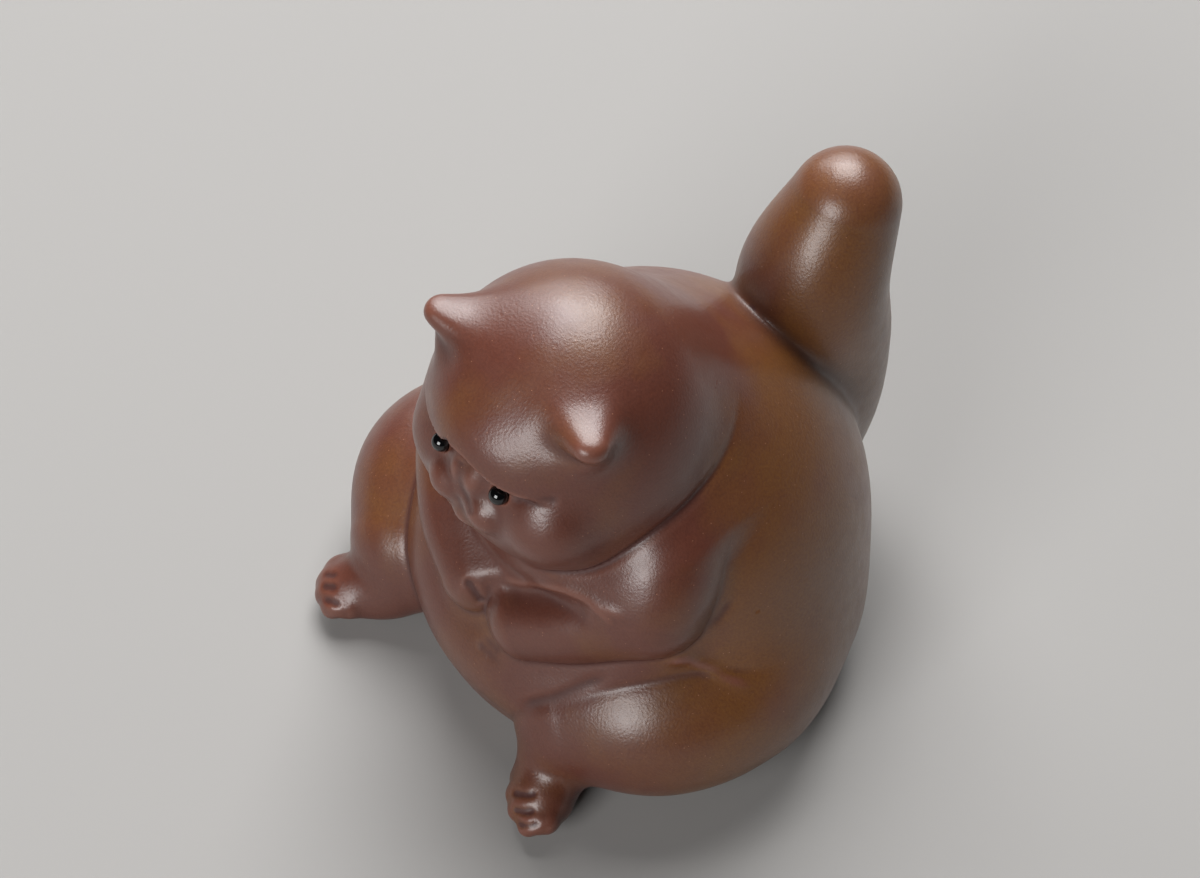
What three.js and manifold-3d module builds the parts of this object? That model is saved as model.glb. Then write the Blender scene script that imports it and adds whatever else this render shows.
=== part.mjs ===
// Seated fat cat for the tea table, hand built in unglazed purple-brown clay with glossy bead eyes.
// Millimetres, +Z up. The cat faces -Y and its left side is +X. The origin is on the table, under the torso.
// The torso and the head are hollow and joined through a hole at the neck. The limbs, ears and tail are
// rolls of clay luted on, so each of them is hollowed where it sits on what carries it.
import * as THREE from 'three';
import { mergeVertices } from 'three/addons/utils/BufferGeometryUtils.js';
import Module from 'manifold-3d';

const wasm = await Module();
wasm.setup();

// Clearance left for the slip between two luted pieces.
const SLIP_GAP = 0.3;

// Torso: an egg on a squashed base, pressed in at the chest so that the belly stands out below the arms.
const BODY_RADIUS = 34.6;
const BODY_WAIST_HEIGHT = 22;
const BODY_CROWN_HEIGHT = 63;
const BODY_BASE_DEPTH = 30;
const BODY_BASE_FULLNESS = 3;
const CHEST_PRESS = 5;
const CHEST_HEIGHT = 34;
const BELLY_HEIGHT = 18;
const BELLY_SWELL = 1;
const BODY_WALL = 4;
const BASE_SLAB_THICKNESS = 4;
const NECK_HOLE_RADIUS = 7;
// The neck hole runs on past the middle of the head, as a share of the way there from the waist.
const NECK_HOLE_REACH = 1.2;
const VENT_RADIUS = 0.8;
const VENT_HEIGHT = 55.5;
const VENT_AZIMUTH = 91;

// Head: a round ball with a high crown, turned a little to its left.
const HEAD_RADIUS = 21.1;
const HEAD_CROWN_RISE = 23;
const HEAD_HEIGHT = 58.3;
const HEAD_FORWARD = 13.1;
const HEAD_TURN = 5;
const HEAD_WALL = 4;
const BROW_SWELL = 1.1;
const EYE_HOLLOW = 1.5;
const MUZZLE_SWELL = 1.5;
const CHEEK_SWELL = 1.4;
const TEMPLE_PRESS = 1.2;
const EYE_RADIUS = 1.4;
const EYE_SPREAD = 5.9;
const EYE_RISE = 5;
const EYE_PROUD = 0.7;

// Ears: short cones with hollow flanks, leaning outwards. Root and tip are measured from the head's centre.
const EAR_ROOT = [9, -8.4, 13.2];
const EAR_TIP = [16.9, -11.1, 18.8];
const EAR_ROOT_WIDTH = 14;
const EAR_THICKNESS = 11.6;
const EAR_TIP_RADIUS = 1.6;
const EAR_FLANK_HOLLOW = 1.2;
// The tip is rounded off through a ring this far out and this far down, as shares of its radius.
const EAR_TIP_ROUNDING = [0.7, 0.3];

// Limbs, tail and the body's own folds: girths are radii of the rolls, from the root to the end.
const LEFT_ARM_GIRTHS = [7.6, 8.6, 8.3, 6.6, 6];
const RIGHT_ARM_GIRTHS = [6.4, 7.2, 6.6, 5.8, 5.4];
const CHEST_FOLD_GIRTHS = [4.6, 4.8, 4.8, 4.6, 4];
const BELLY_FOLD_GIRTHS = [2.4, 3.8, 7.4, 8.4, 7, 4.6];
const THIGH_GIRTHS = [12.5, 14, 14.2, 10.8];
const FOOT_GIRTHS = [5, 5.2, 4.7];
const FOOT_HEIGHT_SHARE = 0.9;
const TOE_COUNT = 4;
const TOE_RADIUS = 1.9;
const TOE_LENGTH = 3.6;
// How far apart the outer toes stand, as a share of the foot's width, and how far each toe stands forward
// and up from the ball of the foot, as shares of its radius.
const TOE_SPREAD = 0.8;
const TOE_FORWARD = 1;
const TOE_UP = 0.5;
const TOE_DIP = 0.25;
const TAIL_GIRTHS = [8.6, 10, 10.6, 10.8, 7.9];

// Where the rolls run, as points on their centre lines: x and y in body radii, so that the limbs stay on the
// body when it grows, and z in mm.
const LEFT_ARM_LINE = [
  [0.318, -0.231, 50], [0.564, -0.347, 46.5], [0.63, -0.462, 39.8], [0.448, -0.659, 34.2],
  [0.243, -0.792, 29.3],
];
const RIGHT_ARM_LINE = [
  [-0.318, -0.231, 50], [-0.549, -0.347, 45.5], [-0.564, -0.535, 38.5], [-0.332, -0.751, 32.5],
  [-0.104, -0.844, 28.6],
];
const CHEST_FOLD_LINE = [
  [0.636, -0.448, 43.5], [0.506, -0.549, 42.5], [0.347, -0.621, 42], [0.159, -0.665, 40.5],
  [-0.029, -0.679, 38.5],
];
const BELLY_FOLD_LINE = [
  [0.751, -0.434, 32.5], [0.578, -0.621, 27], [0.275, -0.775, 19.5], [-0.087, -0.809, 17],
  [-0.405, -0.737, 20], [-0.636, -0.52, 27],
];
const LEFT_THIGH_LINE = [
  [0.578, 0.202, 13.5], [0.751, -0.116, 14.5], [0.708, -0.434, 15], [0.52, -0.694, 12.5],
];
const RIGHT_THIGH_LINE = [
  [-0.578, 0.087, 13.5], [-0.795, -0.231, 14], [-0.838, -0.491, 13.5], [-0.679, -0.751, 11.5],
];
const LEFT_FOOT_LINE = [[0.52, -0.78, 11], [0.578, -0.896, 6], [0.63, -1.04, 4.4]];
const RIGHT_FOOT_LINE = [[-0.52, -0.795, 11], [-0.621, -0.939, 6], [-0.763, -1.092, 4.4]];
const LEFT_TOE_AIM = [-0.49, -0.87];
const RIGHT_TOE_AIM = [-0.61, -0.79];
const TAIL_LINE = [[0, 0.853, 11], [0, 0.954, 26], [0, 0.948, 41], [0, 0.896, 55], [0, 1.04, 68]];

// How finely each form is drawn: rings along it, and sides around it.
const BODY_GRID = [24, 48];
const BODY_HOLLOW_GRID = [14, 28];
const HEAD_GRID = [30, 38];
const HEAD_HOLLOW_GRID = [14, 22];
const EYE_GRID = [8, 12];
const EAR_GRID = [8, 20];
const ARM_GRID = [8, 14];
const FOLD_GRID = [14, 14];
const THIGH_GRID = [12, 20];
const FOOT_GRID = [8, 16];
const TOE_GRID = [3, 10];
const TAIL_GRID = [20, 20];
const CAP_RINGS = 4;
// The point of an arm's line at which its two rolls meet.
const ELBOW_POINT = 2;
const BORE_SIDES = 24;
const VENT_SIDES = 10;

const clay = new THREE.MeshStandardMaterial({ color: 0x6f4038, roughness: 0.5, metalness: 0 });
const bead = new THREE.MeshStandardMaterial({ color: 0x0a0a0c, roughness: 0.08, metalness: 0 });

const cat = new THREE.Group();
const point = ([x, y, z]) => new THREE.Vector3(x, y, z);
const onBody = ([x, y, z]) => new THREE.Vector3(x * BODY_RADIUS, y * BODY_RADIUS, z);
const smooth = (low, high, value) => THREE.MathUtils.smoothstep(value, low, high);

// A closed geometry as a solid that can be cut and joined.
function solid(geometry) {
  const shell = geometry.index ? geometry : geometry.clone();
  shell.deleteAttribute('normal');
  shell.deleteAttribute('uv');
  const merged = mergeVertices(shell, 1e-4);
  return new wasm.Manifold(new wasm.Mesh({
    numProp: 3,
    vertProperties: new Float32Array(merged.attributes.position.array),
    triVerts: new Uint32Array(merged.index.array),
  }));
}

function place(name, piece, material) {
  const { vertProperties, triVerts } = piece.getMesh();
  const geometry = new THREE.BufferGeometry();
  geometry.setAttribute('position', new THREE.BufferAttribute(vertProperties, 3));
  geometry.setIndex(new THREE.BufferAttribute(triVerts, 1));
  geometry.computeVertexNormals();
  const mesh = new THREE.Mesh(geometry, material);
  mesh.name = name;
  cat.add(mesh);
}

// Every vertex of a geometry moved by a rule.
function shape(geometry, rule) {
  const at = geometry.attributes.position;
  const vertex = new THREE.Vector3();
  for (let i = 0; i < at.count; i += 1) {
    vertex.fromBufferAttribute(at, i);
    rule(vertex);
    at.setXYZ(i, vertex.x, vertex.y, vertex.z);
  }
  return geometry;
}

// A box from one height to another, wider than the cat, to keep or cut a layer of it.
function layer(low, high) {
  const span = 4 * BODY_RADIUS;
  const box = new THREE.BoxGeometry(span, span, high - low);
  return solid(box.translate(0, 0, (low + high) / 2));
}

// The torso's form, grown outwards by a margin, or drawn in by its wall for the hollow.
function torso(margin, [rings, sides]) {
  const radius = BODY_RADIUS + margin;
  const rise = BODY_CROWN_HEIGHT - BODY_WAIST_HEIGHT + margin;
  const drop = BODY_BASE_DEPTH + margin;
  const outline = [];
  for (let i = 0; i <= rings; i += 1) {
    const turn = Math.PI * (i / rings - 0.5);
    const power = turn < 0 ? 2 / BODY_BASE_FULLNESS : 1;
    const out = Math.max(0, Math.cos(turn)) ** power;
    const up = Math.sign(turn) * Math.abs(Math.sin(turn)) ** power;
    const height = BODY_WAIST_HEIGHT + up * (turn < 0 ? drop : rise);
    outline.push(new THREE.Vector2(i % rings ? radius * out : 0, height));
  }
  const egg = new THREE.LatheGeometry(outline, sides).rotateX(Math.PI / 2);
  return solid(shape(egg, (at) => {
    const chest = smooth(BELLY_HEIGHT, CHEST_HEIGHT, at.z);
    const front = (BELLY_SWELL * (1 - chest) - CHEST_PRESS * chest) / BODY_RADIUS;
    at.y *= 1 + (at.y < 0 ? front : 0);
  }));
}

// A roll of clay along a centre line, round at both ends. Each girth is the radius at its own point.
function roll(line, girths, margin, [rings, sides], squash = [1, 1, 1]) {
  const curve = new THREE.CatmullRomCurve3(line.map(onBody), false, 'catmullrom');
  const widths = new THREE.CatmullRomCurve3(girths.map((girth) => point([girth, 0, 0])), false, 'catmullrom');
  const frames = curve.computeFrenetFrames(rings);
  const vertices = [];
  const faces = [];
  const ring = (centre, side, up, radius) => {
    for (let j = 0; j < sides; j += 1) {
      const turn = (2 * Math.PI * j) / sides;
      const out = side.clone().multiplyScalar(Math.cos(turn)).addScaledVector(up, Math.sin(turn));
      vertices.push(centre.clone().addScaledVector(out.multiply(point(squash)), radius));
    }
  };
  const first = curve.getPointAt(0);
  const last = curve.getPointAt(1);
  const girthAt = (share) => widths.getPoint(curve.getUtoTmapping(share)).x + margin;
  for (let k = 1; k <= CAP_RINGS; k += 1) {
    const turn = (Math.PI / 2) * (k / CAP_RINGS);
    const centre = first.clone().addScaledVector(frames.tangents[0], -girthAt(0) * Math.cos(turn));
    ring(centre, frames.normals[0], frames.binormals[0], girthAt(0) * Math.sin(turn));
  }
  for (let i = 1; i < rings; i += 1) {
    ring(curve.getPointAt(i / rings), frames.normals[i], frames.binormals[i], girthAt(i / rings));
  }
  for (let k = 0; k < CAP_RINGS; k += 1) {
    const turn = (Math.PI / 2) * (k / CAP_RINGS);
    const centre = last.clone().addScaledVector(frames.tangents[rings], girthAt(1) * Math.sin(turn));
    ring(centre, frames.normals[rings], frames.binormals[rings], girthAt(1) * Math.cos(turn));
  }
  const ringCount = vertices.length / sides;
  const start = vertices.length;
  vertices.push(first.clone().addScaledVector(frames.tangents[0], -girthAt(0)));
  vertices.push(last.clone().addScaledVector(frames.tangents[rings], girthAt(1)));
  for (let j = 0; j < sides; j += 1) {
    const next = (j + 1) % sides;
    faces.push(start, next, j);
    for (let i = 0; i + 1 < ringCount; i += 1) {
      const a = i * sides + j;
      const b = i * sides + next;
      faces.push(a, b, b + sides, a, b + sides, a + sides);
    }
    faces.push(start + 1, (ringCount - 1) * sides + j, (ringCount - 1) * sides + next);
  }
  const geometry = new THREE.BufferGeometry().setFromPoints(vertices);
  geometry.setIndex(faces);
  return solid(geometry);
}

// An arm: one roll from the shoulder to the elbow and one on to the paw, so that the bend is never pinched.
function arm(line, girths, margin) {
  const upper = roll(line.slice(0, ELBOW_POINT + 1), girths.slice(0, ELBOW_POINT + 1), margin, ARM_GRID);
  return upper.add(roll(line.slice(ELBOW_POINT), girths.slice(ELBOW_POINT), margin, ARM_GRID));
}

// The head's form in its own frame: face along -Y, centre at the middle of the ball.
const faceTouches = [
  { at: [0, -0.93, 0.4], reach: 0.36, lift: BROW_SWELL, wide: 1.9 },
  { at: [EYE_SPREAD / HEAD_RADIUS, -0.93, 0.12], reach: 0.2, lift: -EYE_HOLLOW, wide: 1.3 },
  { at: [-EYE_SPREAD / HEAD_RADIUS, -0.93, 0.12], reach: 0.2, lift: -EYE_HOLLOW, wide: 1.3 },
  { at: [0, -1, -0.08], reach: 0.17, lift: MUZZLE_SWELL, wide: 1.3 },
  { at: [0.6, -0.66, -0.42], reach: 0.42, lift: CHEEK_SWELL, wide: 1 },
  { at: [-0.6, -0.66, -0.42], reach: 0.42, lift: CHEEK_SWELL, wide: 1 },
  { at: [0.7, -0.68, 0.2], reach: 0.4, lift: -TEMPLE_PRESS, wide: 1 },
  { at: [-0.7, -0.68, 0.2], reach: 0.4, lift: -TEMPLE_PRESS, wide: 1 },
];

function faceLift(direction) {
  return faceTouches.reduce((sum, touch) => {
    const [x, y, z] = touch.at;
    const gap = Math.hypot((direction.x - x) / touch.wide, direction.y - y, direction.z - z);
    return sum + touch.lift * Math.exp(-((gap / touch.reach) ** 2));
  }, 0);
}

const headFrame = new THREE.Matrix4()
  .makeRotationZ(THREE.MathUtils.degToRad(HEAD_TURN))
  .setPosition(0, -HEAD_FORWARD, HEAD_HEIGHT);

function head(margin, [rings, sides]) {
  const ball = new THREE.SphereGeometry(1, sides, rings);
  const crown = (HEAD_CROWN_RISE + margin) / (HEAD_RADIUS + margin);
  shape(ball, (at) => {
    at.normalize().multiplyScalar(HEAD_RADIUS + margin + faceLift(at));
    at.z *= at.z > 0 ? crown : 1;
  });
  return solid(ball.applyMatrix4(headFrame));
}

function headHollow() {
  const ball = new THREE.SphereGeometry(HEAD_RADIUS - HEAD_WALL, HEAD_HOLLOW_GRID[1], HEAD_HOLLOW_GRID[0]);
  return solid(ball.applyMatrix4(headFrame));
}

// A straight bore from one point towards another.
function bore(from, to, radius, sides) {
  const along = to.clone().sub(from);
  const rod = new THREE.CylinderGeometry(radius, radius, along.length(), sides);
  const turn = new THREE.Quaternion().setFromUnitVectors(new THREE.Vector3(0, 1, 0), along.clone().normalize());
  rod.applyQuaternion(turn);
  const middle = from.clone().add(to).multiplyScalar(0.5);
  return solid(rod.translate(middle.x, middle.y, middle.z));
}

function eyeCentre(side) {
  const ahead = Math.sqrt(HEAD_RADIUS ** 2 - EYE_SPREAD ** 2 - EYE_RISE ** 2);
  const direction = new THREE.Vector3(side * EYE_SPREAD, -ahead, EYE_RISE).normalize();
  const depth = HEAD_RADIUS + faceLift(direction) + EYE_PROUD - EYE_RADIUS;
  return direction.multiplyScalar(depth).applyMatrix4(headFrame);
}

function eye(side, margin) {
  const { x, y, z } = eyeCentre(side);
  return solid(new THREE.SphereGeometry(EYE_RADIUS + margin, EYE_GRID[1], EYE_GRID[0]).translate(x, y, z));
}

// An ear: a cone with hollow flanks and a blunt tip, from its root inside the head to its tip.
function ear(side) {
  const root = new THREE.Vector3(side * EAR_ROOT[0], EAR_ROOT[1], EAR_ROOT[2]);
  const along = new THREE.Vector3(side * EAR_TIP[0], EAR_TIP[1], EAR_TIP[2]).sub(root);
  const length = along.length();
  const outline = [new THREE.Vector2(0, 0)];
  const [steps, sides] = EAR_GRID;
  for (let i = 0; i <= steps; i += 1) {
    const share = i / steps;
    const width = (EAR_ROOT_WIDTH / 2 - EAR_TIP_RADIUS) * (1 - share) ** EAR_FLANK_HOLLOW + EAR_TIP_RADIUS;
    outline.push(new THREE.Vector2(width, share * (length - EAR_TIP_RADIUS)));
  }
  outline.push(new THREE.Vector2(EAR_TIP_RADIUS * EAR_TIP_ROUNDING[0], length - EAR_TIP_RADIUS * EAR_TIP_ROUNDING[1]));
  outline.push(new THREE.Vector2(0, length));
  const cone = new THREE.LatheGeometry(outline, sides);
  cone.scale(1, 1, EAR_THICKNESS / EAR_ROOT_WIDTH);
  const turn = new THREE.Quaternion().setFromUnitVectors(new THREE.Vector3(0, 1, 0), along.normalize());
  cone.applyQuaternion(turn).translate(root.x, root.y, root.z).applyMatrix4(headFrame);
  return solid(cone);
}

// A toe: a short rod with round ends.
function toe(root, tip) {
  const along = tip.clone().sub(root);
  const rod = new THREE.CapsuleGeometry(TOE_RADIUS, along.length(), TOE_GRID[0], TOE_GRID[1]);
  const turn = new THREE.Quaternion().setFromUnitVectors(new THREE.Vector3(0, 1, 0), along.normalize());
  const middle = root.clone().add(tip).multiplyScalar(0.5);
  return solid(rod.applyQuaternion(turn).translate(middle.x, middle.y, middle.z));
}

// A foot: a flattened roll that drops from the shin to the table, with a row of toes at its end.
function foot(line, aim) {
  const along = new THREE.Vector3(aim[0], aim[1], 0).normalize();
  const across = new THREE.Vector3(-along.y, along.x, 0);
  let form = roll(line, FOOT_GIRTHS, 0, FOOT_GRID, [1, 1, FOOT_HEIGHT_SHARE]);
  const ball = onBody(line[line.length - 1]);
  const span = 2 * TOE_SPREAD * FOOT_GIRTHS[FOOT_GIRTHS.length - 1];
  for (let i = 0; i < TOE_COUNT; i += 1) {
    const share = i / (TOE_COUNT - 1) - 0.5;
    const root = ball.clone().addScaledVector(across, share * span);
    root.addScaledVector(along, TOE_RADIUS * TOE_FORWARD * (1 - 2 * share * share));
    const tip = root.clone().addScaledVector(along, TOE_LENGTH / 2);
    root.z = ball.z + TOE_RADIUS * TOE_UP;
    tip.z = ball.z - TOE_RADIUS * TOE_DIP;
    form = form.add(toe(root, tip));
  }
  return form.intersect(layer(0, BODY_CROWN_HEIGHT));
}

// The folds of the body's own clay over the forearms and under them.
function folds(margin) {
  return roll(CHEST_FOLD_LINE, CHEST_FOLD_GIRTHS, margin, FOLD_GRID)
    .add(roll(BELLY_FOLD_LINE, BELLY_FOLD_GIRTHS, margin, FOLD_GRID));
}

const bodyForm = torso(0, BODY_GRID);
const bodySeat = torso(SLIP_GAP, BODY_GRID);
const bodyHollow = torso(-BODY_WALL, BODY_HOLLOW_GRID);
const headForm = head(0, HEAD_GRID);
const headSeat = head(SLIP_GAP, HEAD_GRID);
const leftArmSeat = arm(LEFT_ARM_LINE, LEFT_ARM_GIRTHS, SLIP_GAP);
const rightArmSeat = arm(RIGHT_ARM_LINE, RIGHT_ARM_GIRTHS, SLIP_GAP);

// Torso wall with its neck hole and firing vent, on the rim of the base slab.
const waist = new THREE.Vector3(0, 0, BODY_WAIST_HEIGHT);
const headMiddle = new THREE.Vector3(0, -HEAD_FORWARD, HEAD_HEIGHT);
const ventAngle = THREE.MathUtils.degToRad(VENT_AZIMUTH);
const ventOut = new THREE.Vector3(Math.cos(ventAngle), Math.sin(ventAngle), 1);
const ventStart = new THREE.Vector3(0, 0, VENT_HEIGHT - BODY_RADIUS / 2);
const ventEnd = ventStart.clone().addScaledVector(ventOut, BODY_RADIUS);
const neckTop = waist.clone().lerp(headMiddle, NECK_HOLE_REACH);
const neckHole = bore(waist, neckTop, NECK_HOLE_RADIUS, BORE_SIDES);
const vent = bore(ventStart, ventEnd, VENT_RADIUS, VENT_SIDES);
const openFolds = folds(0)
  .subtract(headSeat)
  .subtract(leftArmSeat)
  .subtract(rightArmSeat);
const bodyShell = bodyForm
  .add(openFolds)
  .subtract(bodyHollow)
  .subtract(layer(-BODY_BASE_DEPTH, BASE_SLAB_THICKNESS + SLIP_GAP))
  .subtract(neckHole)
  .subtract(vent);
place('body_shell', bodyShell, clay);
place('base_slab', bodyForm.intersect(layer(0, BASE_SLAB_THICKNESS)), clay);

// Head dome, luted over the crown of the torso, with the two sockets for its eyes.
const headShell = headForm
  .subtract(headHollow())
  .subtract(bodySeat)
  .subtract(eye(1, SLIP_GAP))
  .subtract(eye(-1, SLIP_GAP));
place('head_shell', headShell, clay);

// Ears, eyes and arms; the right paw gives way to the left one where they meet on the belly.
for (const [side, name] of [[1, 'left'], [-1, 'right']]) {
  place(`${name}_ear`, ear(side).subtract(headSeat), clay);
  place(`${name}_eye`, eye(side, 0), bead);
}
const leftArm = arm(LEFT_ARM_LINE, LEFT_ARM_GIRTHS, 0)
  .subtract(bodySeat)
  .subtract(headSeat);
place('left_arm', leftArm, clay);
const rightArm = arm(RIGHT_ARM_LINE, RIGHT_ARM_GIRTHS, 0)
  .subtract(bodySeat)
  .subtract(headSeat)
  .subtract(leftArmSeat);
place('right_arm', rightArm, clay);

// Thighs and feet, each hollowed where it lies against the body, its folds and the arms.
const foldSeat = folds(SLIP_GAP);
for (const [name, thighLine, footLine, toeAim] of [
  ['left', LEFT_THIGH_LINE, LEFT_FOOT_LINE, LEFT_TOE_AIM],
  ['right', RIGHT_THIGH_LINE, RIGHT_FOOT_LINE, RIGHT_TOE_AIM],
]) {
  const thigh = roll(thighLine, THIGH_GIRTHS, 0, THIGH_GRID)
    .subtract(bodySeat)
    .subtract(foldSeat)
    .subtract(leftArmSeat)
    .subtract(rightArmSeat)
    .intersect(layer(0, BODY_CROWN_HEIGHT));
  place(`${name}_thigh`, thigh, clay);
  const footPiece = foot(footLine, toeAim)
    .subtract(bodySeat)
    .subtract(foldSeat)
    .subtract(roll(thighLine, THIGH_GIRTHS, SLIP_GAP, THIGH_GRID));
  place(`${name}_foot`, footPiece, clay);
}

const tail = roll(TAIL_LINE, TAIL_GIRTHS, 0, TAIL_GRID)
  .subtract(bodySeat)
  .intersect(layer(0, 2 * BODY_CROWN_HEIGHT));
place('tail', tail, clay);

export default cat;
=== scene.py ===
import itertools
import math

import bpy
import numpy as np
from mathutils import Matrix, Vector


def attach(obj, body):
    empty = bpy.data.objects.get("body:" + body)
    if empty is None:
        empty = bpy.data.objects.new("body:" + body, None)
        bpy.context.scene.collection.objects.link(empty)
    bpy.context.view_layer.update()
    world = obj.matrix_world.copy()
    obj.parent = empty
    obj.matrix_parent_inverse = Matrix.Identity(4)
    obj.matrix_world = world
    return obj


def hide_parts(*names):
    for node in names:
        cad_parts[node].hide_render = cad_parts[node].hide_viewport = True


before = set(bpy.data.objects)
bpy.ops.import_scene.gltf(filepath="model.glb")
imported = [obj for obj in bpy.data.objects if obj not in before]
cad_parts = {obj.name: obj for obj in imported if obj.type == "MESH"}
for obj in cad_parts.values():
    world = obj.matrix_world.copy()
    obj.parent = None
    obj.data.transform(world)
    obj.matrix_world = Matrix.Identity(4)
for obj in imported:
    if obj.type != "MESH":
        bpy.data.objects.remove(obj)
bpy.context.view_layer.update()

# Torso: a hollow ball of purple-brown zisha clay, thrown on to its base slab and pressed in at the chest, so
# that the belly stands out below the arms. A pinhole high on the back lets the air out in the kiln. All sizes
# of the clay are in mm here, and the cat faces -Y. Each form is a function that gives the distance of points
# from its surface, so that the pieces can be luted together before the skin is meshed.
BODY_RADIUS = 34.3
BODY_WAIST_HEIGHT = 22.0
BODY_RISE = 41.0
BODY_DROP = 30.0
BASE_FULLNESS = 3.0
CHEST_PRESS = 5.0
BELLY_SWELL = 1.0
BELLY_HEIGHT = 18.0
CHEST_HEIGHT = 34.0
SLAB_THICKNESS = 4.0
VENT = np.array((-0.3, 20.0, 55.7))
VENT_RADIUS = 0.8


def eased(low, high, value):
    """A share that goes smoothly from 0 at the low value to 1 at the high one."""
    share = np.clip((value - low) / (high - low), 0.0, 1.0)
    return share * share * (3.0 - 2.0 * share)


def lute(a, b, fillet, score=0.0, score_width=1.0):
    """Two distances as one form, with slip smoothed into the corner, or with the seam scored in again."""
    corner = np.maximum(fillet - np.abs(a - b), 0.0) / fillet
    joined = np.minimum(a, b) - corner**3 * fillet / 6.0
    return joined + score * np.exp(-(((a - b) / score_width) ** 2))


def slope_of(form, at, value, step=0.05):
    """How fast a form's value grows along each axis."""
    return np.stack([(form(at + step * axis) - value) / step for axis in np.eye(3)], axis=1)


def to_surface(form, at):
    """Distance in mm to the surface where a form's value is 1, good near that surface."""
    value = form(at)
    steepness = np.sqrt((slope_of(form, at, value) ** 2).sum(axis=1))
    return (value - 1.0) / np.maximum(steepness, 1e-6)


def torso_form(at):
    x, y, z = at.T
    chest = eased(BELLY_HEIGHT, CHEST_HEIGHT, z)
    press = 1.0 + (BELLY_SWELL * (1.0 - chest) - CHEST_PRESS * chest) / BODY_RADIUS
    out = np.hypot(x, np.where(y < 0, y / press, y)) / BODY_RADIUS
    height = z - BODY_WAIST_HEIGHT
    upper = np.hypot(out, height / BODY_RISE)
    lower = (out**BASE_FULLNESS + np.abs(height / BODY_DROP) ** BASE_FULLNESS) ** (1.0 / BASE_FULLNESS)
    return np.where(height > 0, upper, lower)


def torso(at):
    return to_surface(torso_form, at)


# Head: a second hollow ball of the same clay, with a high crown, luted over the top of the torso and turned
# a little to its left. A thumb presses in the sockets under a heavy brow, and balls of clay make the cheeks
# and the muzzle.
HEAD_RADIUS = 21.0
HEAD_CROWN = 22.9
HEAD_CENTRE = np.array((0.0, -13.1, 58.3))
HEAD_TURN = math.radians(4.5)
HEAD_AXES = np.array((
    (math.cos(HEAD_TURN), -math.sin(HEAD_TURN), 0.0),
    (math.sin(HEAD_TURN), math.cos(HEAD_TURN), 0.0),
    (0.0, 0.0, 1.0),
))
# Small touches of clay, in the head's own frame: where each is, how far it reaches and how high it stands.
FACE_TOUCHES = (
    ((0.0, -19.5, 11.0), (12.0, 8.0, 5.0), 1.3),
    ((1.6, -19.8, 4.2), (1.7, 3.0, 2.2), 0.9),
    ((-1.6, -19.8, 4.2), (1.7, 3.0, 2.2), 0.9),
    ((0.0, -20.0, -5.2), (1.9, 3.0, 1.6), 0.9),
    ((12.0, -14.5, -8.0), (8.0, 8.0, 6.5), 1.2),
    ((-12.0, -14.5, -8.0), (8.0, 8.0, 6.5), 1.2),
)
# Balls of clay pressed on below the eyes: where, how large, and how far the slip is smoothed round them.
FACE_BALLS = (
    ((10.9, -13.1, -0.7), 6.7, 4.5),
    ((-9.0, -13.1, -0.7), 6.2, 4.5),
    ((3.9, -18.5, -1.2), 3.4, 2.0),
    ((-3.9, -18.5, -1.2), 3.4, 2.0),
)
# The sockets: pressed in below a brow line that arches over the nose, and fading out down the cheeks.
SOCKET_PRESS = 2.1
SOCKET_REACH = 6.5
SOCKET_HALF_WIDTH = 10.5
BROW_LINE = 6.5
BROW_ARCH = 2.4
BROW_ARCH_REACH = 5.0
BROW_EDGE = 1.1


def in_head(at):
    """The points in the head's own frame."""
    return (at - HEAD_CENTRE) @ HEAD_AXES


def head_form(at):
    near = in_head(at)
    near[:, 2] *= np.where(near[:, 2] > 0, HEAD_RADIUS / HEAD_CROWN, 1.0)
    return np.sqrt((near**2).sum(axis=1)) / HEAD_RADIUS


def face_lift(near):
    """How far the touches stand out, less how far the sockets are pressed in."""
    lift = np.zeros(len(near))
    for centre, reach, height in FACE_TOUCHES:
        lift += height * np.exp(-(((near - centre) / reach) ** 2).sum(axis=1))
    below = BROW_LINE + BROW_ARCH * np.exp(-((near[:, 0] / BROW_ARCH_REACH) ** 2)) - near[:, 2]
    under_brow = eased(-BROW_EDGE / 2, BROW_EDGE / 2, below)
    fade = np.exp(-((np.maximum(below, 0.0) / SOCKET_REACH) ** 2) - (near[:, 0] / SOCKET_HALF_WIDTH) ** 4)
    return lift - SOCKET_PRESS * under_brow * fade * (near[:, 1] < 0)


def head(at):
    near = in_head(at)
    form = to_surface(head_form, at) - face_lift(near)
    for centre, radius, fillet in FACE_BALLS:
        form = lute(form, np.sqrt(((near - centre) ** 2).sum(axis=1)) - radius, fillet)
    return form


# Ears: two small cones of clay, pinched flat at the tip and leaning outwards. They are luted on to the crown,
# with the slip drawn out wide round them.
EAR_ROOT = np.array((8.3, -6.4, 12.4))
EAR_TIP = np.array((15.0, -10.0, 17.3))
EAR_ROOT_RADIUS = 7.4
EAR_TIP_RADIUS = 2.8
EAR_TOP = 19.4
EAR_TOP_SLOPE = 0.1
EAR_TOP_ROUNDING = 2.4
EAR_FILLET = 4.5
# Thumb marks in front of the ear and under it, in the head's own frame: where, how far and how deep.
EAR_TOUCHES = (
    ((10.6, -12.8, 15.4), (3.0, 2.4, 2.8), 0.5),
    ((14.5, -12.2, 15.2), (3.4, 2.2, 1.6), 0.8),
)


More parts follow.
